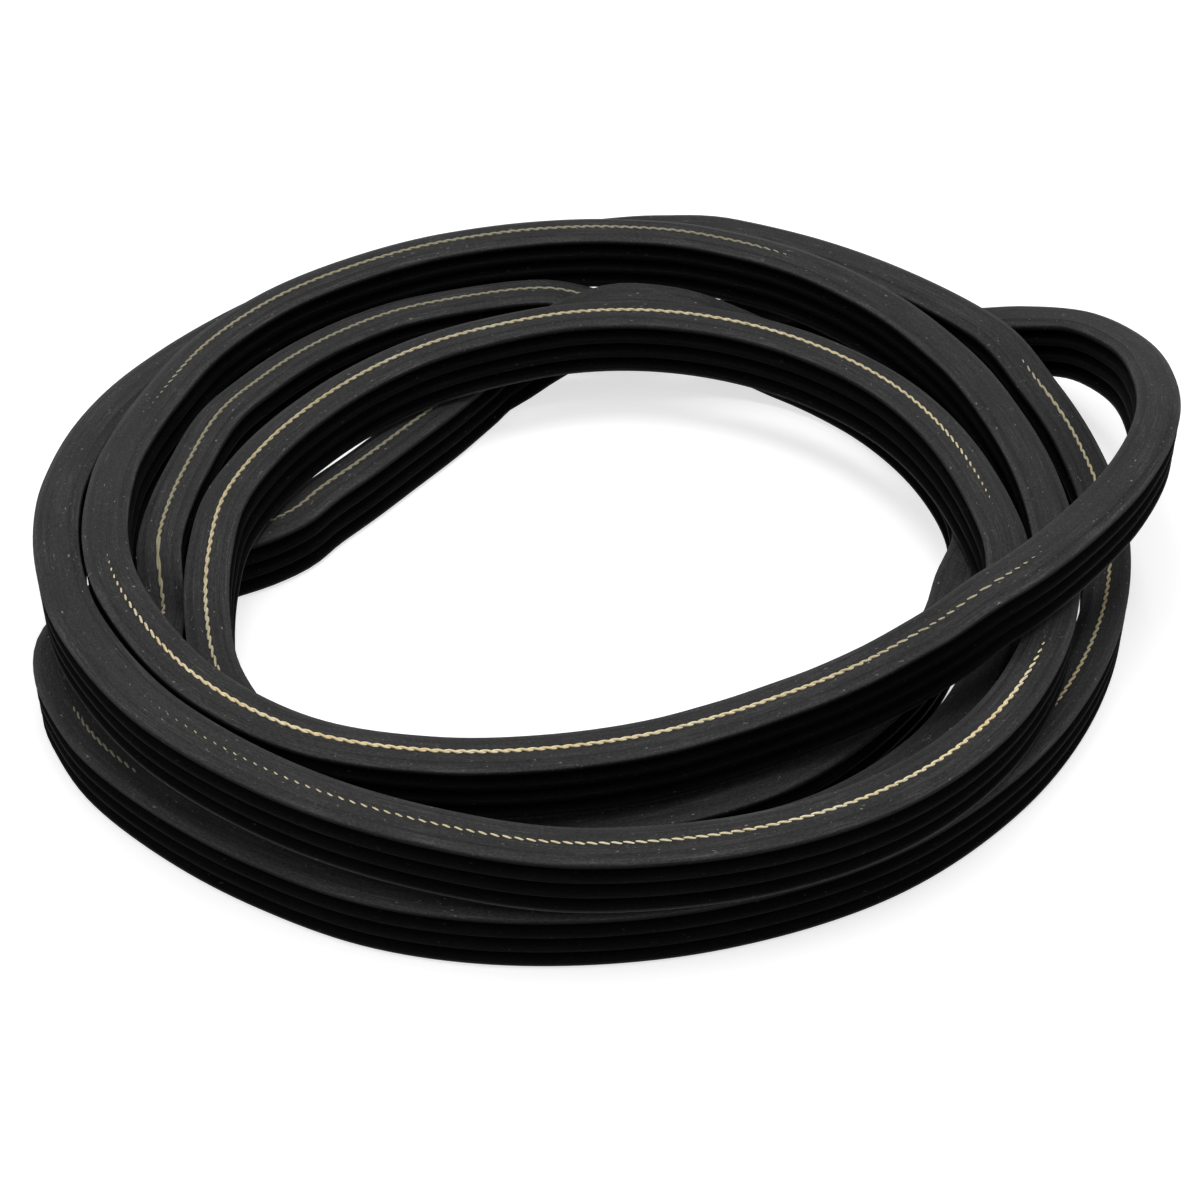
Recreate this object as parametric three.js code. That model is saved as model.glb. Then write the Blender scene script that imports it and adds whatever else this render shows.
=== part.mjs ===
// Serpentine belt: one endless double-sided ribbed rubber belt, put away as a loose coil.
// The band stands on its cut edge and goes round five times, with no twist in it, and one
// turn swings out on the right as a wider loop that lies on top of the others.
// Millimetres, +Z up, the coil lies on z = 0 and is seen from -Y in its usual view.

import * as THREE from 'three';

// Belt section
const ribPitch = 3.56;
const ribsPerSide = 4;
const ribHeight = 2.9;
const ribTipWidth = 1.1;
const coreThickness = 2.4;
const edgeTrim = 0.5;

// Coil
const strandGap = 0.4;
const stackGap = 0.3;
const innerRadius = 50;

// Cross-sections along the belt, closer together where it bends tightly
const sectionCount = 212;
const straightBend = 0.004;
const samplesPerStation = 24;

const beltWidth = ribPitch * ribsPerSide - 2 * edgeTrim;
const beltThickness = coreThickness + 2 * ribHeight;
const flankWidth = (ribPitch - ribTipWidth) / 2;
const lanePitch = beltThickness + strandGap;
const levelPitch = beltWidth + stackGap;

// The route of the belt, chosen by hand, one list for each turn. A point is a bearing in
// degrees, counter-clockwise from +X as seen from above, a lane and a level. Lane 0 is the
// inside of the coil, and each lane out is one belt thickness and its gap. Level 0 stands
// on the ground, level 1 lies over one strand and level 2 over two.
const turns = [
  // Outer left, then across the front to the inside, up over the right side and out into
  // the loop, down and in beneath the back strands, and along the inside of the back
  [
    [180, 4.32, 1.4], [195, 4.42, 1.61], [205, 4.4, 1.62], [220, 4.16, 1.51], [235, 3.65, 1.38],
    [250, 2.8, 1.24], [265, 2.12, 1.15], [280, 1.74, 1.1], [292, 1.6, 1.08], [305, 1.77, 1.13],
    [315, 2.24, 1.3], [325, 3.06, 1.7], [332, 3.68, 2.01], [342, 4.48, 2.04], [355, 5.72, 2.03],
    [5, 6.64, 1.93], [15, 7.3, 1.58], [22.5, 7.69, 1.2], [30, 7.78, 0.8], [36, 7.37, 0.44],
    [43, 6.6, 0.08], [49, 5.92, 0], [60, 4.6, 0], [70, 3.74, 0], [83, 2.92, 0.16],
    [89, 2.93, 0.32], [97, 3.06, 0.46], [110, 3.06, 0.5], [122, 3.15, 0.54],
    [136, 3.06, 0.64], [150, 2.95, 0.79], [163, 2.9, 1], [172, 2.94, 1.02],
  ],
  // Third in on the left, down to the ground across the front, up on the right, and along
  // the inside of the back, above the ground
  [
    [180, 3.1, 1.02], [189, 3.33, 1.02], [196, 3.45, 0.48], [203, 3.81, 0.31], [211, 4.02, 0.15],
    [222, 4.01, 0], [238, 3.85, 0], [256, 3.29, 0], [272, 3.21, 0], [300, 3.3, 0],
    [318, 3.5, 0.05], [332, 3.62, 0.34], [344, 3.46, 0.78], [352, 3.24, 1.02], [12, 2.59, 1.01],
    [28, 2.22, 1], [44, 1.78, 1], [60, 1.4, 1], [76, 1.09, 1], [92, 0.84, 1],
    [108, 0.66, 1], [124, 0.7, 1], [138, 0.82, 1], [152, 1.06, 1], [166, 1.45, 1.01],
  ],
  // Fourth in on the left, on the ground across the front, out beneath the last turn on the
  // right, up a little between two strands at the back, and back in to the ground
  [
    [180, 1.96, 1.01], [192, 2.31, 0.94], [202, 2.68, 0.7], [211, 2.97, 0.45], [222, 2.98, 0.17],
    [234, 2.86, 0], [256, 2.28, 0], [272, 2.18, 0], [300, 2.0, 0], [328, 2.03, 0],
    [345, 2.22, 0], [354, 2.38, 0], [3, 2.85, 0], [13, 3.15, 0], [28, 3.25, 0], [44, 3.25, 0],
    [56, 3.06, 0.1], [66, 2.66, 0.45], [75, 2.2, 0.8], [83, 1.94, 0.9], [91, 1.88, 0.68],
    [99, 1.8, 0.3], [106, 1.66, 0.01], [112, 1.12, 0], [123, 0.46, 0], [137, 0.15, 0],
    [150, 0.2, 0], [161, 0.54, 0], [168, 0.84, 0],
  ],
  // Out beneath four strands on the left, round the outside of the front on the ground, up
  // behind the right side, and along the outside of the back
  [
    [173.5, 1.46, 0], [177.5, 2.32, 0], [181, 3.22, 0], [185, 4.15, 0], [189, 4.98, 0],
    [194, 5.7, 0], [199, 5.9, 0], [204, 5.85, 0], [211, 5.7, 0], [222, 5.28, 0],
    [234, 4.93, 0], [248, 4.69, 0], [264, 4.4, 0], [284, 4.29, 0], [305, 4.53, 0],
    [323, 4.84, 0], [338, 5.2, 0], [352, 5.58, 0.02], [4, 5.82, 0.15], [14, 5.76, 0.41],
    [23, 5.5, 0.79], [33, 5.45, 1], [45, 5.22, 1], [58, 5.06, 1], [71, 4.98, 1],
    [80, 4.97, 0.88], [92, 5.2, 0.58], [106, 5.3, 0.43], [123, 5.4, 0.43], [139, 5.53, 0.45],
    [150, 5.53, 0.58], [159, 5.48, 0.78], [168, 5.44, 0.98],
  ],
  // Outermost on the left, across the front over the last turn, under the loop on the
  // right, and along the back over the start of the first turn
  [
    [177, 5.4, 1.19], [186, 5.41, 1.4], [195, 5.43, 1.48], [205, 5.41, 1.5], [222, 5.19, 1.5],
    [238, 4.78, 1.35], [254, 4.5, 1.2], [270, 4.45, 1.08], [290, 4.54, 1.02], [306, 4.72, 1],
    [320, 4.76, 1], [334, 4.65, 1], [347, 4.43, 1], [2, 4.15, 1], [16, 4.01, 1.01],
    [30, 4.01, 1.06], [45, 3.86, 1.23], [60, 3.82, 1.29], [73, 3.8, 1.29], [85, 3.88, 1.22],
    [97, 4.12, 1.09], [109, 4.31, 1.01], [122, 4.38, 1], [136, 4.5, 1], [149, 4.46, 1.04],
    [161, 4.3, 1.13], [171, 4.3, 1.24],
  ],
];

// One station of the route as a point on the plan, and its height to the middle of the band
function stationPoint([bearing, lane]) {
  const angle = THREE.MathUtils.degToRad(bearing);
  const radius = innerRadius + lane * lanePitch;
  return new THREE.Vector3(radius * Math.cos(angle), radius * Math.sin(angle), 0);
}

const stationHeight = ([, , level]) => beltWidth / 2 + level * levelPitch;

// Slopes for a curve through the heights that never rises or dips past a station
function levelSlopes(heights) {
  return heights.map((height, i) => {
    const before = height - heights.at(i - 1);
    const after = heights[(i + 1) % heights.length] - height;
    if (before * after <= 0) return 0;
    return (2 * before * after) / (before + after);
  });
}

function hermite(from, to, slopeFrom, slopeTo, t) {
  const t2 = t * t;
  const t3 = t2 * t;
  return from * (2 * t3 - 3 * t2 + 1) + slopeFrom * (t3 - 2 * t2 + t)
    + to * (3 * t2 - 2 * t3) + slopeTo * (t3 - t2);
}

// The centreline as many close points, one closed curve through every station
function fineRoute() {
  const stations = turns.flat();
  const plan = new THREE.CatmullRomCurve3(stations.map(stationPoint), true, 'centripetal');
  const heights = stations.map(stationHeight);
  const slopes = levelSlopes(heights);
  const points = [];
  for (let i = 0; i < stations.length; i++) {
    const next = (i + 1) % stations.length;
    for (let j = 0; j < samplesPerStation; j++) {
      const t = j / samplesPerStation;
      const point = plan.getPoint((i + t) / stations.length);
      point.z = hermite(heights[i], heights[next], slopes[i], slopes[next], t);
      points.push(point);
    }
  }
  return points;
}

// Distance along the route to each point, with tight bends counted as longer
function bendWeightedLengths(points) {
  const count = points.length;
  const lengths = [0];
  for (let i = 0; i < count; i++) {
    const before = points.at(i - 1);
    const here = points[i];
    const after = points[(i + 1) % count];
    const step = after.clone().sub(here);
    const bend = step.angleTo(here.clone().sub(before)) / step.length();
    lengths.push(lengths[i] + step.length() * Math.sqrt(straightBend + bend));
  }
  return lengths;
}

// The points of the route where cross-sections stand
function sectionPoints() {
  const points = fineRoute();
  const lengths = bendWeightedLengths(points);
  const total = lengths[points.length];
  const chosen = [];
  let i = 0;
  for (let k = 0; k < sectionCount; k++) {
    const goal = (total * k) / sectionCount;
    while (lengths[i + 1] <= goal) i++;
    const t = (goal - lengths[i]) / (lengths[i + 1] - lengths[i]);
    chosen.push(points[i].clone().lerp(points[(i + 1) % points.length], t));
  }
  return chosen;
}

// Outline of the band: x is out from the core's middle, y is across the width. Ribs run
// down both faces. Each cut edge is flat and lies a little inside the bottom of a groove.
function beltOutline() {
  const groove = coreThickness / 2;
  const tip = groove + ribHeight;
  const edgeHalf = groove + (ribHeight * edgeTrim) / flankWidth;
  const outline = [];
  for (const side of [1, -1]) {
    outline.push([side * edgeHalf, (-side * beltWidth) / 2]);
    for (let rib = 0; rib < ribsPerSide; rib++) {
      const middle = (rib - (ribsPerSide - 1) / 2) * ribPitch;
      if (rib > 0) outline.push([side * groove, side * (middle - ribPitch / 2)]);
      outline.push([side * tip, side * (middle - ribTipWidth / 2)]);
      outline.push([side * tip, side * (middle + ribTipWidth / 2)]);
    }
    outline.push([side * edgeHalf, (side * beltWidth) / 2]);
  }
  return outline;
}

// One closed band: the outline stands square to the route at each cross-section, its width
// as upright as the slope allows, and the last section joins the first
function beltGeometry() {
  const outline = beltOutline();
  const centres = sectionPoints();
  const up = new THREE.Vector3(0, 0, 1);
  const positions = [];
  const faces = [];
  centres.forEach((centre, i) => {
    const next = (i + 1) % sectionCount;
    const along = centres[next].clone().sub(centres.at(i - 1)).normalize();
    const outward = along.clone().cross(up).normalize();
    const across = outward.clone().cross(along);
    outline.forEach(([x, y], j) => {
      const corner = centre.clone().addScaledVector(outward, x).addScaledVector(across, y);
      positions.push(corner.x, corner.y, corner.z);
      const nextCorner = (j + 1) % outline.length;
      const a = i * outline.length + j;
      const b = i * outline.length + nextCorner;
      const c = next * outline.length + nextCorner;
      const d = next * outline.length + j;
      faces.push(a, c, b, a, d, c);
    });
  });
  const geometry = new THREE.BufferGeometry();
  geometry.setAttribute('position', new THREE.Float32BufferAttribute(positions, 3));
  geometry.setIndex(faces);
  geometry.computeVertexNormals();
  return geometry;
}

function serpentineBelt() {
  const rubber = new THREE.MeshStandardMaterial({ color: 0x2b2b2c, roughness: 0.85, metalness: 0 });
  const belt = new THREE.Mesh(beltGeometry(), rubber);
  belt.name = 'serpentine_belt';
  return belt;
}

// The origin is the middle of the coil's footprint, on the ground
function coiledBelt() {
  const belt = serpentineBelt();
  const box = new THREE.Box3().setFromObject(belt);
  const middle = box.getCenter(new THREE.Vector3());
  belt.position.set(-middle.x, -middle.y, -box.min.z);
  const coil = new THREE.Group();
  coil.add(belt);
  return coil;
}

export default coiledBelt();
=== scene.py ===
import math

import bpy
import numpy as np
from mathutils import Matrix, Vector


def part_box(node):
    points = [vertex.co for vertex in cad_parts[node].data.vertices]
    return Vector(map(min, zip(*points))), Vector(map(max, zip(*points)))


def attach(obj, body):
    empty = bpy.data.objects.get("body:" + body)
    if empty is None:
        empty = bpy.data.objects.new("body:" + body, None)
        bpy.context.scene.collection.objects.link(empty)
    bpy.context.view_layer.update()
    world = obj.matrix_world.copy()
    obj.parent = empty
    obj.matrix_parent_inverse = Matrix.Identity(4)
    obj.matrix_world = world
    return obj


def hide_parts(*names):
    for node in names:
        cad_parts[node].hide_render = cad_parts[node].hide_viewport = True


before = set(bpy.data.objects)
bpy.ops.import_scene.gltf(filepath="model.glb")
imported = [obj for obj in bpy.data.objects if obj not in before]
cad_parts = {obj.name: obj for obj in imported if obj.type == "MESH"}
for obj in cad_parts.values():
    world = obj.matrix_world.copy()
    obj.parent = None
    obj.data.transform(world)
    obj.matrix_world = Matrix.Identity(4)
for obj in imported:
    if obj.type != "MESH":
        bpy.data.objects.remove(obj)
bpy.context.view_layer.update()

# Looks of a double-sided ribbed rubber belt that lies coiled on its cut edge, with the
# cream yarn of its tensile cord showing along the cut edges.
# Sizes are in millimetres and become metres when a mesh is made. Bump depths, lamp places
# and the floor are in metres.

MM = 0.001

# Belt section
RIB_PITCH = 3.56
RIBS_PER_SIDE = 4
RIB_HEIGHT = 2.9
RIB_TIP_WIDTH = 1.1
CORE_THICKNESS = 2.4
EDGE_TRIM = 0.5
BELT_WIDTH = RIB_PITCH * RIBS_PER_SIDE - 2 * EDGE_TRIM
BELT_THICKNESS = CORE_THICKNESS + 2 * RIB_HEIGHT
FLANK_WIDTH = (RIB_PITCH - RIB_TIP_WIDTH) / 2
EDGE_HALF = CORE_THICKNESS / 2 + RIB_HEIGHT * EDGE_TRIM / FLANK_WIDTH
TIP_ROUNDING = 0.42
GROOVE_ROUNDING = 0.3
EDGE_ROUNDING = 0.16
ROUNDING_POINTS = 3

# How the looks of a cut edge fade: how far they reach onto the outer rib's tip, over what
# length they end there, and the widths of the painted flank and crease shade at the corner
# of the flat strip
CUT_REACH = 0.4
CUT_FADE = 0.3
FLANK_FADE = 0.12
CREASE_HALF = 0.14

# Coil
STRAND_GAP = 0.4
STACK_GAP = 0.3
INNER_RADIUS = 50
LANE_PITCH = BELT_THICKNESS + STRAND_GAP
LEVEL_PITCH = BELT_WIDTH + STACK_GAP

# The route of the belt: bearing in degrees, lane and level, one list for each turn
TURNS = [
    [
        [180, 4.32, 1.4], [195, 4.42, 1.61], [205, 4.4, 1.62], [220, 4.16, 1.51],
        [235, 3.65, 1.38], [250, 2.8, 1.24], [265, 2.12, 1.15], [280, 1.74, 1.1],
        [292, 1.6, 1.08], [305, 1.77, 1.13], [315, 2.24, 1.3], [325, 3.06, 1.7],
        [332, 3.68, 2.01], [342, 4.48, 2.04], [355, 5.72, 2.03], [5, 6.64, 1.93],
        [15, 7.3, 1.58], [22.5, 7.69, 1.2], [30, 7.78, 0.8], [36, 7.37, 0.44],
        [43, 6.6, 0.08], [49, 5.92, 0], [60, 4.6, 0], [70, 3.74, 0], [83, 2.92, 0.16],
        [89, 2.93, 0.32], [97, 3.06, 0.46], [110, 3.06, 0.5], [122, 3.15, 0.54],
        [136, 3.06, 0.64], [150, 2.95, 0.79], [163, 2.9, 1], [172, 2.94, 1.02],
    ],
    [
        [180, 3.1, 1.02], [189, 3.33, 1.02], [196, 3.45, 0.48], [203, 3.81, 0.31],
        [211, 4.02, 0.15], [222, 4.01, 0], [238, 3.85, 0], [256, 3.29, 0], [272, 3.21, 0],
        [300, 3.3, 0], [318, 3.5, 0.05], [332, 3.62, 0.34], [344, 3.46, 0.78],
        [352, 3.24, 1.02], [12, 2.59, 1.01], [28, 2.22, 1], [44, 1.78, 1], [60, 1.4, 1],
        [76, 1.09, 1], [92, 0.84, 1], [108, 0.66, 1], [124, 0.7, 1], [138, 0.82, 1],
        [152, 1.06, 1], [166, 1.45, 1.01],
    ],
    [
        [180, 1.96, 1.01], [192, 2.31, 0.94], [202, 2.68, 0.7], [211, 2.97, 0.45],
        [222, 2.98, 0.17], [234, 2.86, 0], [256, 2.28, 0], [272, 2.18, 0], [300, 2.0, 0],
        [328, 2.03, 0], [345, 2.22, 0], [354, 2.38, 0], [3, 2.85, 0], [13, 3.15, 0],
        [28, 3.25, 0], [44, 3.25, 0], [56, 3.06, 0.1], [66, 2.66, 0.45], [75, 2.2, 0.8],
        [83, 1.94, 0.9], [91, 1.88, 0.68], [99, 1.8, 0.3], [106, 1.66, 0.01],
        [112, 1.12, 0], [123, 0.46, 0], [137, 0.15, 0], [150, 0.2, 0], [161, 0.54, 0],
        [168, 0.84, 0],
    ],
    [
        [173.5, 1.46, 0], [177.5, 2.32, 0], [181, 3.22, 0], [185, 4.15, 0], [189, 4.98, 0],
        [194, 5.7, 0], [199, 5.9, 0], [204, 5.85, 0], [211, 5.7, 0], [222, 5.28, 0],
        [234, 4.93, 0], [248, 4.69, 0], [264, 4.4, 0], [284, 4.29, 0], [305, 4.53, 0],
        [323, 4.84, 0], [338, 5.2, 0], [352, 5.58, 0.02], [4, 5.82, 0.15], [14, 5.76, 0.41],
        [23, 5.5, 0.79], [33, 5.45, 1], [45, 5.22, 1], [58, 5.06, 1], [71, 4.98, 1],
        [80, 4.97, 0.88], [92, 5.2, 0.58], [106, 5.3, 0.43], [123, 5.4, 0.43],
        [139, 5.53, 0.45], [150, 5.53, 0.58], [159, 5.48, 0.78], [168, 5.44, 0.98],
    ],
    [
        [177, 5.4, 1.19], [186, 5.41, 1.4], [195, 5.43, 1.48], [205, 5.41, 1.5],
        [222, 5.19, 1.5], [238, 4.78, 1.35], [254, 4.5, 1.2], [270, 4.45, 1.08],
        [290, 4.54, 1.02], [306, 4.72, 1], [320, 4.76, 1], [334, 4.65, 1], [347, 4.43, 1],
        [2, 4.15, 1], [16, 4.01, 1.01], [30, 4.01, 1.06], [45, 3.86, 1.23],
        [60, 3.82, 1.29], [73, 3.8, 1.29], [85, 3.88, 1.22], [97, 4.12, 1.09],
        [109, 4.31, 1.01], [122, 4.38, 1], [136, 4.5, 1], [149, 4.46, 1.04],
        [161, 4.3, 1.13], [171, 4.3, 1.24],
    ],
]

# Tensile cord: a yarn of two plies. Its middle lies a little under the cut edge, and how
# far under decides whether it shows whole, as dashes, or not at all.
PLY_RADIUS = 0.24
PLY_OFFSET = 0.19
TWIST_PITCH = 4.0
UPPER_STEPS_PER_PITCH = 10
UPPER_SIDES = 7
LOWER_STEPS_PER_PITCH = 5
LOWER_SIDES = 5
LOWER_CORD_UNDER = 0.5
CORD_WHOLE = 0.05
CORD_HIDDEN = 0.75

# How far the cord lies under the upper cut edge: turn, bearing and depth, in order along
# the belt, with straight changes between them
CORD_COVER = [
    [0, 180, 0.46], [0, 196, 0.42], [0, 206, 0.3], [0, 216, 0.15],
    [0, 226, CORD_WHOLE], [0, 312, CORD_WHOLE], [0, 325, 0.3], [0, 334, 0.34],
    [0, 341, 0.45], [0, 349, 0.44], [0, 356, 0.4], [0, 5, CORD_HIDDEN],
    [0, 60, CORD_HIDDEN], [0, 90, 0.15],
    [1, 180, 0.12], [1, 205, 0.12], [1, 220, CORD_HIDDEN], [1, 345, CORD_HIDDEN],
    [1, 356, 0.44], [1, 8, 0.3], [1, 20, 0.12], [1, 60, CORD_WHOLE], [2, 180, CORD_WHOLE],
    [2, 205, 0.1], [2, 230, CORD_HIDDEN], [2, 100, CORD_HIDDEN], [2, 118, 0.1],
    [2, 160, CORD_WHOLE],
    [3, 202, CORD_HIDDEN], [3, 206, 0.25], [3, 210, 0.15], [3, 216, 0.25],
    [3, 222, CORD_HIDDEN], [3, 318, CORD_HIDDEN],
    [3, 328, 0.2], [3, 345, 0.15], [3, 22, 0.1], [3, 34, CORD_HIDDEN],
    [3, 140, CORD_HIDDEN], [3, 160, 0.55], [4, 180, 0.5], [4, 205, 0.45], [4, 225, 0.4],
    [4, 255, 0.31], [4, 275, 0.25], [4, 295, 0.16], [4, 325, 0.1],
    [4, 345, CORD_HIDDEN], [4, 50, CORD_HIDDEN], [4, 66, 0.15], [4, 100, CORD_WHOLE],
    [4, 150, 0.15], [4, 160, 0.36], [4, 172, 0.46],
]

# Painted shade that dims the yarn to grey green where less light falls on the coil: turn,
# bearing and share, in the same order
CORD_PAINTED_SHADE = [
    [0, 180, 0.5], [0, 205, 0.2], [0, 235, 0], [0, 305, 0.1], [0, 325, 0.6], [0, 350, 0.7],
    [0, 70, 1], [0, 172, 1], [1, 205, 0.8], [1, 346, 0.3], [1, 60, 0.3], [1, 100, 0.5],
    [1, 150, 0.6], [2, 190, 0.45], [2, 110, 1], [3, 220, 1], [3, 322, 0.25], [3, 5, 0.4],
    [3, 20, 0.75], [3, 150, 0.7], [4, 180, 0.7], [4, 235, 0.5], [4, 270, 0.1], [4, 330, 0],
    [4, 60, 1], [4, 170, 0.9],
]

# Fineness of the route's curve, and of the belt's mesh along it
SAMPLES_PER_STATION = 48
BELT_SECTIONS = 1100

# The smooth curve bulges past the straight pieces of the CAD model, so it is drawn in a
# little to stay inside that model's box
INSIDE_BOX = 0.9985


def centripetal(points, i, t):
    """The point at t from station i to the next, on a centripetal Catmull-Rom curve."""
    count = len(points)
    p = [points[(i + k) % count] for k in (-1, 0, 1, 2)]
    gaps = [math.sqrt(np.linalg.norm(p[k + 1] - p[k])) for k in range(3)]
    steps = [p[k + 1] - p[k] for k in range(3)]
    middle = gaps[1]
    slopes = []
    for k in (0, 1):
        before, after = gaps[k], gaps[k + 1]
        over_both = (steps[k] + steps[k + 1]) / (before + after)
        slope = steps[k] / before - over_both + steps[k + 1] / after
        slopes.append(slope * middle)
    return hermite(p[1], p[2], slopes[0], slopes[1], t)


def hermite(start, end, slope_start, slope_end, t):
    """The point at t on a cubic curve with these ends and slopes."""
    t2 = t * t
    t3 = t2 * t
    return (
        start * (2 * t3 - 3 * t2 + 1) + slope_start * (t3 - 2 * t2 + t)
        + end * (3 * t2 - 2 * t3) + slope_end * (t3 - t2)
    )


def level_slopes(heights):
    """Slopes for a curve through the heights that never passes a station."""
    before = heights - np.roll(heights, 1)
    after = np.roll(heights, -1) - heights
    same_way = before * after > 0
    total = np.where(same_way, before + after, 1)
    return np.where(same_way, 2 * before * after / total, 0)


def route_angle(turn, bearing):
    """Degrees gone round the coil since the first station, which is on the left."""
    return 360 * turn + (bearing - 180) % 360


def fine_route():
    """Close points along the belt's middle, and the degrees gone round at each."""
    stations = [station for turn in TURNS for station in turn]
    bearings, lanes, levels = np.array(stations, float).T
    radii = INNER_RADIUS + lanes * LANE_PITCH
    turned = np.radians(bearings)
    plan = np.column_stack([radii * np.cos(turned), radii * np.sin(turned)])
    heights = BELT_WIDTH / 2 + levels * LEVEL_PITCH
    slopes = level_slopes(heights)
    angles = np.degrees(np.unwrap(turned)) - 180
    whole = 360 * len(TURNS)
    points = []
    gone = []
    for i in range(len(stations)):
        j = (i + 1) % len(stations)
        to_next = (angles[j] - angles[i]) % whole
        for k in range(SAMPLES_PER_STATION):
            t = k / SAMPLES_PER_STATION
            x, y = centripetal(plan, i, t)
            points.append([x, y, hermite(heights[i], heights[j], slopes[i], slopes[j], t)])
            gone.append(angles[i] + t * to_next)
    return np.array(points), np.array(gone)


def closed_lengths(points):
    """Distance along a closed route to each of its points, with the whole at the end."""
    steps = np.linalg.norm(np.roll(points, -1, 0) - points, axis=1)
    return np.concatenate([[0], np.cumsum(steps)])


def along_route(route, gone, count):
    """Evenly spaced points on the route, with the distance and degrees gone at each."""
    lengths = closed_lengths(route)
    wanted = np.arange(count) * lengths[-1] / count
    closed = np.vstack([route, route[:1]])
    points = np.column_stack([np.interp(wanted, lengths, closed[:, k]) for k in range(3)])
    degrees = np.interp(wanted, lengths[:-1], gone)
    return points, wanted, degrees


def directions(points):
    """Unit vectors along the belt, out from the coil, and across its width."""
    along = np.roll(points, -1, 0) - np.roll(points, 1, 0)
    along /= np.linalg.norm(along, axis=1)[:, None]
    outward = np.cross(along, [0, 0, 1])
    outward /= np.linalg.norm(outward, axis=1)[:, None]
    return along, outward, np.cross(outward, along)


def rounded_corner(before, corner, after, radius):
    """Points of an arc that takes the place of one corner of an outline."""
    to_before = (before - corner) / np.linalg.norm(before - corner)
    to_after = (after - corner) / np.linalg.norm(after - corner)
    half = math.acos(np.clip(np.dot(to_before, to_after), -1, 1)) / 2
    middle_way = (to_before + to_after) / np.linalg.norm(to_before + to_after)
    centre = corner + middle_way * radius / math.sin(half)
    start = corner + to_before * radius / math.tan(half) - centre
    end = corner + to_after * radius / math.tan(half) - centre
    turn = math.atan2(start[0] * end[1] - start[1] * end[0], np.dot(start, end))
    points = []
    for k in range(ROUNDING_POINTS):
        angle = turn * k / (ROUNDING_POINTS - 1)
        c, s = math.cos(angle), math.sin(angle)
        points.append(centre + [c * start[0] - s * start[1], s * start[0] + c * start[1]])
    return points


def belt_outline():
    """The band's section: out from the core's middle, and across the width."""
    groove = CORE_THICKNESS / 2
    tip = groove + RIB_HEIGHT
    corners = []
    for side in (1, -1):
        corners.append([side * EDGE_HALF, -side * BELT_WIDTH / 2, EDGE_ROUNDING])
        for rib in range(RIBS_PER_SIDE):
            middle = (rib - (RIBS_PER_SIDE - 1) / 2) * RIB_PITCH
            if rib > 0:
                bottom = side * (middle - RIB_PITCH / 2)
                corners.append([side * groove, bottom, GROOVE_ROUNDING])
            corners.append([side * tip, side * (middle - RIB_TIP_WIDTH / 2), TIP_ROUNDING])
            corners.append([side * tip, side * (middle + RIB_TIP_WIDTH / 2), TIP_ROUNDING])
        corners.append([side * EDGE_HALF, side * BELT_WIDTH / 2, EDGE_ROUNDING])
    corners = np.array(corners)
    places = corners[:, :2]
    count = len(corners)
    outline = []
    for i in range(count):
        before, after = places[i - 1], places[(i + 1) % count]
        outline += rounded_corner(before, places[i], after, corners[i, 2])
    return np.array(outline)


# The groove, flank and crease values place painted shade in the rubber
def outline_looks(outline):
    """How deep in a groove each point of the outline lies, whether it belongs to a cut
    edge, to that edge's sloping flank, and to the crease between the two, from 0 to 1."""
    out = np.abs(outline[:, 0])
    from_edge = BELT_WIDTH / 2 - np.abs(outline[:, 1])
    drop = FLANK_WIDTH - EDGE_TRIM
    cut = np.clip((drop + CUT_REACH - from_edge) / CUT_FADE, 0, 1)
    groove = np.clip(1 - (out - CORE_THICKNESS / 2) / RIB_HEIGHT, 0, 1) * (1 - cut)
    flank = cut * np.clip((out - EDGE_HALF) / FLANK_FADE + 0.5, 0, 1)
    crease = cut * np.clip(1 - np.abs(out - EDGE_HALF) / CREASE_HALF, 0, 1)
    return {"groove": groove, "cut_edge": cut, "flank": flank, "crease": crease}


def outline_distance(outline):
    """Distance round the outline to each of its points."""
    steps = np.linalg.norm(np.roll(outline, -1, 0) - outline, axis=1)
    return np.concatenate([[0], np.cumsum(steps)])[:-1]


def ring_faces(rings, sides):
    """Four-sided faces of a closed tube of closed rings."""
    ring, side = np.meshgrid(np.arange(rings), np.arange(sides), indexing="ij")
    next_ring = (ring + 1) % rings
    next_side = (side + 1) % sides
    corners = [
        ring * sides + side, next_ring * sides + side,
        next_ring * sides + next_side, ring * sides + next_side,
    ]
    return np.stack(corners, axis=-1).reshape(-1, 4)


def mesh_object(name, points, faces, material):
    """A smooth-shaded piece made from points in millimetres."""
    mesh = bpy.data.meshes.new(name)
    mesh.from_pydata((points * MM).tolist(), [], faces.tolist())
    mesh.materials.append(material)
    mesh.polygons.foreach_set("use_smooth", [True] * len(mesh.polygons))
    mesh.update()
    piece = bpy.data.objects.new(name, mesh)
    bpy.context.scene.collection.objects.link(piece)
    return piece


def add_number(piece, name, values):
    layer = piece.data.attributes.new(name, "FLOAT", "POINT")
    layer.data.foreach_set("value", np.asarray(values, np.float32).ravel())


def add_vector(piece, name, values):
    layer = piece.data.attributes.new(name, "FLOAT_VECTOR", "POINT")
    layer.data.foreach_set("vector", np.asarray(values, np.float32).ravel())


def place_on_belt(distances, whole, across):
    """Texture places that close on themselves: the belt's length is wound on a circle as
    long as the belt, so that a pattern has no seam, and the third number is across it."""
    radius = whole / (2 * math.pi)
    turned = distances / radius
    return np.column_stack([radius * np.cos(turned), radius * np.sin(turned), across])


# Node helpers

def new_material(name):
    material = bpy.data.materials.new(name)
    material.use_nodes = True
    tree = material.node_tree
    shader = tree.nodes["Principled BSDF"]
    return material, tree, shader


def attribute_node(tree, name):
    node = tree.nodes.new("ShaderNodeAttribute")
    node.attribute_name = name
    return node


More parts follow.
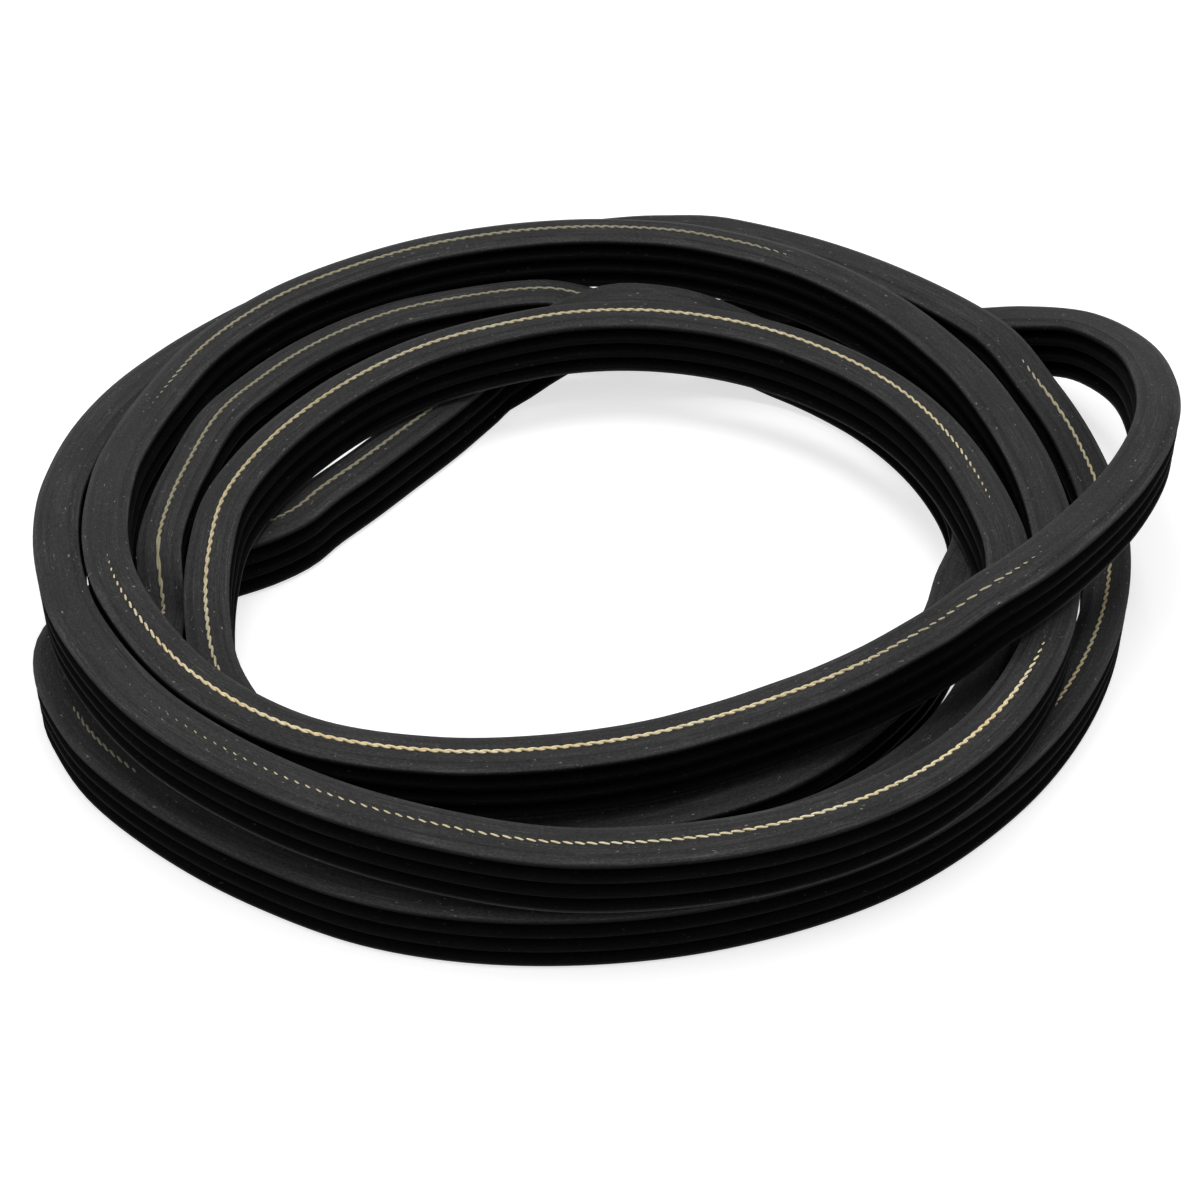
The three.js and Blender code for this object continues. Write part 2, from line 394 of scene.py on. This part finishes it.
def noise(tree, place, stretch, detail, roughness=0.55):
    """Noise at the texture place, with each of its three directions scaled."""
    stretched = tree.nodes.new("ShaderNodeVectorMath")
    stretched.operation = "MULTIPLY"
    stretched.inputs[1].default_value = stretch
    tree.links.new(place, stretched.inputs[0])
    node = tree.nodes.new("ShaderNodeTexNoise")
    node.inputs["Scale"].default_value = 1.0
    node.inputs["Detail"].default_value = detail
    node.inputs["Roughness"].default_value = roughness
    tree.links.new(stretched.outputs[0], node.inputs["Vector"])
    return node.outputs["Fac"]


def levels(tree, value, low, high, out_low=0.0, out_high=1.0):
    """The value spread from low..high to out_low..out_high, and held there."""
    node = tree.nodes.new("ShaderNodeMapRange")
    node.inputs["From Min"].default_value = low
    node.inputs["From Max"].default_value = high
    node.inputs["To Min"].default_value = out_low
    node.inputs["To Max"].default_value = out_high
    tree.links.new(value, node.inputs["Value"])
    return node.outputs["Result"]


def math_node(tree, operation, first, second):
    node = tree.nodes.new("ShaderNodeMath")
    node.operation = operation
    for socket, value in zip(node.inputs, (first, second)):
        if isinstance(value, (int, float)):
            socket.default_value = value
        else:
            tree.links.new(value, socket)
    return node.outputs[0]


def mix(tree, factor, first, second, blend="MIX"):
    """Two colours mixed; each may be a colour or a socket."""
    node = tree.nodes.new("ShaderNodeMix")
    node.data_type = "RGBA"
    node.blend_type = blend
    for socket, value in zip((node.inputs[0], node.inputs[6], node.inputs[7]),
                             (factor, first, second)):
        if isinstance(value, (int, float)):
            socket.default_value = value
        elif isinstance(value, tuple):
            socket.default_value = (*value, 1)
        else:
            tree.links.new(value, socket)
    return node.outputs[2]


def seen_plainly(tree):
    """1 for the rays that see the stage directly, mirrored or through glass, else 0."""
    path = tree.nodes.new("ShaderNodeLightPath")
    seen = math_node(tree, "MAXIMUM", path.outputs["Is Camera Ray"],
                     path.outputs["Is Glossy Ray"])
    return math_node(tree, "MAXIMUM", seen, path.outputs["Is Transmission Ray"])


def bump(tree, height, strength, distance, before=None):
    node = tree.nodes.new("ShaderNodeBump")
    node.inputs["Strength"].default_value = strength
    node.inputs["Distance"].default_value = distance
    tree.links.new(height, node.inputs["Height"])
    if before is not None:
        tree.links.new(before, node.inputs["Normal"])
    return node.outputs["Normal"]


# Rubber: cut edges pale and chalky with fine streaks along the belt, ribs darker and
# smoother; painted shade darkens the grooves nearly to black, and darkens the cut edge's
# sloping flank and the crease at its flat strip
RIB_COLOUR = (0.0042, 0.0042, 0.0046)
CUT_COLOUR = (0.071, 0.071, 0.0715)
CHALK_COLOUR = (0.2, 0.2, 0.195)
# Painted shade: the colour the grooves are darkened to
PAINTED_GROOVE_SHADE = (0.0015, 0.0015, 0.0015)
LINT_COLOUR = (0.34, 0.33, 0.3)

# How much darker or paler than those the rubber gets
STREAK_SHADE = 0.6
# Painted shade on the cut edge's sloping flank, and a darker painted shade along its crease
PAINTED_FLANK_SHADE = 0.6
PAINTED_CREASE_SHADE = 0.3
RIB_PALER = 1.8
CHALK_SHARE = 0.6

# Patterns in the rubber: the stretch, twice along the belt and then across it, the detail
# and, where it isn't the usual one, the roughness
STREAKS = ((0.12, 0.12, 3.2), 4.0, 0.6)
WIDE_STREAKS = ((0.03, 0.03, 0.9), 3.0)
PATCHES = ((0.07, 0.07, 0.25), 3.0)
GRAIN = ((1.6, 1.6, 4.5), 3.0, 0.7)
SPECKS = ((0.8, 0.8, 1.4), 2.0)
FIBRES = ((0.9, 0.9, 6.0), 2.0)

# The span of a pattern in which a look comes in, and the look's own values at the two ends
# where they aren't 0 and 1
CHALK_SPAN = (0.45, 0.72)
CHALK_PATCH_SPAN = (0.4, 0.65, 0.2, 1.0)
WIDE_STREAK_SPAN = (0.35, 0.65, 0, 0.8)
RIB_PALER_SPAN = (0.35, 0.7, 0, 0.45)
# Groove depths over which the painted groove shade comes in
PAINTED_GROOVE_SHADE_SPAN = (0.1, 0.6)
GRAIN_SPAN = (0.3, 0.7, 0.5, 1.55)
SPECK_SPAN = (0.66, 0.74)
FIBRE_SPAN = (0.5, 0.6)
ROUGHNESS_SPAN = (0.3, 0.7, 0.62, 0.82)

# Values on the ribs and on the cut edges
LINT_SHARES = (0.12, 0.7)
SHEENS = (0.02, 0.12)

# Strength and depth of each bump
GRAIN_BUMP = (0.5, 0.00006)
STREAK_BUMP = (0.6, 0.00012)


def rubber_material():
    material, tree, shader = new_material("belt_rubber")
    place = attribute_node(tree, "belt_place").outputs["Vector"]
    groove = attribute_node(tree, "groove").outputs["Fac"]
    cut = attribute_node(tree, "cut_edge").outputs["Fac"]
    flank = attribute_node(tree, "flank").outputs["Fac"]
    crease = attribute_node(tree, "crease").outputs["Fac"]

    streaks = noise(tree, place, *STREAKS)
    wide_streaks = noise(tree, place, *WIDE_STREAKS)
    patches = noise(tree, place, *PATCHES)
    grain = noise(tree, place, *GRAIN)
    specks = noise(tree, place, *SPECKS)
    fibres = noise(tree, place, *FIBRES)

    chalk = math_node(tree, "MULTIPLY", levels(tree, streaks, *CHALK_SPAN),
                      levels(tree, patches, *CHALK_PATCH_SPAN))
    edge_colour = mix(tree, levels(tree, wide_streaks, *WIDE_STREAK_SPAN),
                      CUT_COLOUR, tuple(STREAK_SHADE * c for c in CUT_COLOUR))
    edge_colour = mix(tree, math_node(tree, "MULTIPLY", chalk, CHALK_SHARE),
                      edge_colour, CHALK_COLOUR)
    # Painted shade: the sloping flank is darkened, and more so along the crease
    painted_flank_shade = levels(tree, flank, 0, 1, 1.0, PAINTED_FLANK_SHADE)
    edge_colour = mix(tree, 1.0, edge_colour, painted_flank_shade, "MULTIPLY")
    painted_crease_shade = levels(tree, crease, 0, 1, 1.0, PAINTED_CREASE_SHADE)
    edge_colour = mix(tree, 1.0, edge_colour, painted_crease_shade, "MULTIPLY")

    rib_colour = mix(tree, levels(tree, patches, *RIB_PALER_SPAN),
                     RIB_COLOUR, tuple(RIB_PALER * c for c in RIB_COLOUR))
    # Painted shade: the ribs darken towards the bottom of each groove
    rib_colour = mix(tree, levels(tree, groove, *PAINTED_GROOVE_SHADE_SPAN), rib_colour, PAINTED_GROOVE_SHADE)

    colour = mix(tree, cut, rib_colour, edge_colour)
    grain_shade = levels(tree, grain, *GRAIN_SPAN)
    colour = mix(tree, 1.0, colour, grain_shade, "MULTIPLY")
    lint = math_node(tree, "MULTIPLY", levels(tree, specks, *SPECK_SPAN),
                     levels(tree, fibres, *FIBRE_SPAN))
    lint = math_node(tree, "MULTIPLY", lint, levels(tree, cut, 0, 1, *LINT_SHARES))
    colour = mix(tree, lint, colour, LINT_COLOUR)
    tree.links.new(colour, shader.inputs["Base Color"])

    rough = levels(tree, streaks, *ROUGHNESS_SPAN)
    tree.links.new(rough, shader.inputs["Roughness"])
    sheen = levels(tree, cut, 0, 1, *SHEENS)
    tree.links.new(sheen, shader.inputs["Specular IOR Level"])
    fine = bump(tree, grain, *GRAIN_BUMP)
    tree.links.new(bump(tree, streaks, *STREAK_BUMP, fine), shader.inputs["Normal"])
    return material


# Yarn: cream in paler and darker patches, dark between its fibres and where it is dirty,
# and dimmed to grey green by painted shade where less light falls on the coil
YARN_COLOUR = (0.93, 0.74, 0.42)
YARN_PALE = (0.94, 0.86, 0.6)
YARN_DARK = (0.45, 0.33, 0.16)
# Painted shade: the grey green the yarn is dimmed to, and how far
YARN_PAINTED_SHADE = (0.21, 0.21, 0.15)
YARN_PAINTED_SHADE_SHARE = 0.85
YARN_ROUGHNESS = 0.85
YARN_SHEEN = 0.2
YARN_BUMP = (0.8, 0.00008)

# Patterns in the yarn and their spans, given as for the rubber
YARN_FIBRES = ((0.7, 0.7, 9.0), 3.0, 0.65)
YARN_PATCHES = ((0.06, 0.06, 0.06), 3.0)
YARN_DIRT = ((0.5, 0.5, 1.0), 2.0)
YARN_PALE_SPAN = (0.35, 0.65)
YARN_FIBRE_SPAN = (0.42, 0.7, 0, 0.5)
YARN_DIRT_SPAN = (0.58, 0.75, 0, 0.5)


def yarn_material():
    material, tree, shader = new_material("tensile_cord")
    place = attribute_node(tree, "yarn_place").outputs["Vector"]
    fibres = noise(tree, place, *YARN_FIBRES)
    patches = noise(tree, place, *YARN_PATCHES)
    dirt = noise(tree, place, *YARN_DIRT)
    colour = mix(tree, levels(tree, patches, *YARN_PALE_SPAN), YARN_COLOUR, YARN_PALE)
    colour = mix(tree, levels(tree, fibres, *YARN_FIBRE_SPAN), colour, YARN_DARK)
    colour = mix(tree, levels(tree, dirt, *YARN_DIRT_SPAN), colour, YARN_DARK)
    # Painted shade: the yarn is dimmed to grey green where less light falls on the coil
    yarn_painted_shade = attribute_node(tree, "yarn_painted_shade").outputs["Fac"]
    colour = mix(tree, math_node(tree, "MULTIPLY", yarn_painted_shade, YARN_PAINTED_SHADE_SHARE), colour, YARN_PAINTED_SHADE)
    tree.links.new(colour, shader.inputs["Base Color"])
    shader.inputs["Roughness"].default_value = YARN_ROUGHNESS
    shader.inputs["Specular IOR Level"].default_value = YARN_SHEEN
    tree.links.new(bump(tree, fibres, *YARN_BUMP), shader.inputs["Normal"])
    return material


def ribbed_belt(centres, distances, whole, material):
    outline = belt_outline()
    _, outward, across = directions(centres)
    points = (
        centres[:, None, :]
        + outline[None, :, 0, None] * outward[:, None, :]
        + outline[None, :, 1, None] * across[:, None, :]
    ).reshape(-1, 3)
    belt = mesh_object("ribbed_belt", points, ring_faces(len(centres), len(outline)),
                       material)
    count = len(centres)
    for look, values in outline_looks(outline).items():
        add_number(belt, look, np.tile(values, count))
    round_outline = np.tile(outline_distance(outline), count)
    add_vector(belt, "belt_place",
               place_on_belt(np.repeat(distances, len(outline)), whole, round_outline))
    return belt


def along_cord(degrees, marks):
    """A list of turns, bearings and values, read off at the degrees gone round."""
    places = [route_angle(turn, bearing) for turn, bearing, _ in marks]
    values = [value for _, _, value in marks]
    return np.interp(degrees, places, values, period=360 * len(TURNS))


def cord_ply(name, route, gone, edge, start, steps_per_pitch, sides, material):
    """One ply of the yarn: a helix round the cord's middle. edge is 1 on the upper cut
    edge and -1 on the lower one."""
    whole = closed_lengths(route)[-1]
    twists = round(whole / TWIST_PITCH)
    count = twists * steps_per_pitch
    points, distances, degrees = along_route(route, gone, count)
    _, outward, across = directions(points)
    if edge > 0:
        depth = along_cord(degrees, CORD_COVER)
    else:
        depth = np.full(count, LOWER_CORD_UNDER)
    middle = points + across * (edge * (BELT_WIDTH / 2 - depth))[:, None]
    turned = start - 2 * math.pi * twists * distances / whole
    ply = middle + PLY_OFFSET * (
        np.cos(turned)[:, None] * outward + np.sin(turned)[:, None] * across
    )
    _, ply_outward, ply_across = directions(ply)
    rim = 2 * math.pi * np.arange(sides) / sides
    rings = (
        ply[:, None, :]
        + PLY_RADIUS * np.cos(rim)[None, :, None] * ply_outward[:, None, :]
        + PLY_RADIUS * np.sin(rim)[None, :, None] * ply_across[:, None, :]
    ).reshape(-1, 3)
    piece = mesh_object(name, rings, ring_faces(count, sides), material)
    # Share of painted shade on the yarn at each point along the cord
    add_number(piece, "yarn_painted_shade", np.repeat(along_cord(degrees, CORD_PAINTED_SHADE), sides))
    round_ply = np.tile(rim * PLY_RADIUS, count)
    add_vector(piece, "yarn_place",
               place_on_belt(np.repeat(distances, sides), whole, round_ply))
    return piece


# Stage: a plain white floor, soft lamps above and to both sides in front, and the camera
CAMERA_TARGET = (-3.288, -3.164, 0.0)
CAMERA_ELEVATION = 42.5
CAMERA_DISTANCE = 500.0
CAMERA_LENS = 77.7
SENSOR_WIDTH = 36.0
FLOOR_HALF = 3.0
FLOOR_SHADE = 0.6
FLOOR_GLOW = 0.68
FLOOR_ROUGHNESS = 0.9
WORLD_STRENGTH = 0.08
LAMP_SIZE = 0.5

# Name, place and power of each lamp
LAMPS = [
    ("top", (0, 0.04, 0.75), 3.7),
    ("key", (-0.4, -0.3, 0.55), 1.2),
    ("fill", (0.4, -0.3, 0.55), 0.8),
]


def floor_material():
    material, tree, shader = new_material("floor_white")
    shader.inputs["Base Color"].default_value = (FLOOR_SHADE, FLOOR_SHADE, FLOOR_SHADE, 1)
    shader.inputs["Roughness"].default_value = FLOOR_ROUGHNESS
    shader.inputs["Specular IOR Level"].default_value = 0.0
    glow = math_node(tree, "MULTIPLY", seen_plainly(tree), FLOOR_GLOW)
    shader.inputs["Emission Color"].default_value = (1, 1, 1, 1)
    tree.links.new(glow, shader.inputs["Emission Strength"])
    return material


def white_floor():
    corners = np.array([[-1, -1, 0], [1, -1, 0], [1, 1, 0], [-1, 1, 0]], float)
    mesh = bpy.data.meshes.new("floor")
    mesh.from_pydata((corners * FLOOR_HALF).tolist(), [], [(0, 1, 2, 3)])
    mesh.materials.append(floor_material())
    floor = bpy.data.objects.new("floor", mesh)
    bpy.context.scene.collection.objects.link(floor)


def soft_lamp(name, place, power):
    """A round lamp that faces the coil's middle."""
    data = bpy.data.lights.new(name, "AREA")
    data.shape = "DISK"
    data.size = LAMP_SIZE
    data.energy = power
    lamp = bpy.data.objects.new(name, data)
    lamp.location = place
    towards = -lamp.location
    lamp.rotation_euler = towards.to_track_quat("-Z", "Y").to_euler()
    bpy.context.scene.collection.objects.link(lamp)


def world_light():
    world = bpy.data.worlds.new("studio")
    world.use_nodes = True
    tree = world.node_tree
    background = tree.nodes["Background"]
    background.inputs["Color"].default_value = (1, 1, 1, 1)
    strength = levels(tree, seen_plainly(tree), 0, 1, WORLD_STRENGTH, 1.0)
    tree.links.new(strength, background.inputs["Strength"])
    bpy.context.scene.world = world


def photo_camera():
    data = bpy.data.cameras.new("camera")
    data.lens = CAMERA_LENS
    data.sensor_width = SENSOR_WIDTH
    camera = bpy.data.objects.new("camera", data)
    tilt = math.radians(CAMERA_ELEVATION)
    x, y, z = CAMERA_TARGET
    # The camera looks straight along the ground's second direction, and down
    back = CAMERA_DISTANCE * math.cos(tilt)
    up = CAMERA_DISTANCE * math.sin(tilt)
    camera.location = (x * MM, (y - back) * MM, (z + up) * MM)
    camera.rotation_euler = (math.pi / 2 - tilt, 0, 0)
    bpy.context.scene.collection.objects.link(camera)
    bpy.context.scene.camera = camera


def build_belt():
    route, gone = fine_route()
    centres, distances, _ = along_route(route, gone, BELT_SECTIONS)
    whole = closed_lengths(route)[-1]
    rubber = rubber_material()
    yarn = yarn_material()
    belt = ribbed_belt(centres, distances, whole, rubber)
    pieces = [belt]
    for number, start in ((1, 0.0), (2, math.pi)):
        pieces.append(cord_ply(f"upper_cord_ply_{number}", route, gone, 1, start,
                               UPPER_STEPS_PER_PITCH, UPPER_SIDES, yarn))
        pieces.append(cord_ply(f"lower_cord_ply_{number}", route, gone, -1, start,
                               LOWER_STEPS_PER_PITCH, LOWER_SIDES, yarn))
    lowest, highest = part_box("serpentine_belt")
    corners = np.array([corner.co for corner in belt.data.vertices])
    middle = INSIDE_BOX * (corners.min(0) + corners.max(0)) / 2
    shift = ((lowest.x + highest.x) / 2 - middle[0], (lowest.y + highest.y) / 2 - middle[1], 0)
    for piece in pieces:
        piece.location = shift
        piece.scale = (INSIDE_BOX, INSIDE_BOX, INSIDE_BOX)
        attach(piece, "root")
    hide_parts("serpentine_belt")


build_belt()
white_floor()
world_light()
for lamp_name, lamp_place, lamp_power in LAMPS:
    soft_lamp(lamp_name, lamp_place, lamp_power)
photo_camera()
bpy.context.scene.view_settings.view_transform = "Standard"
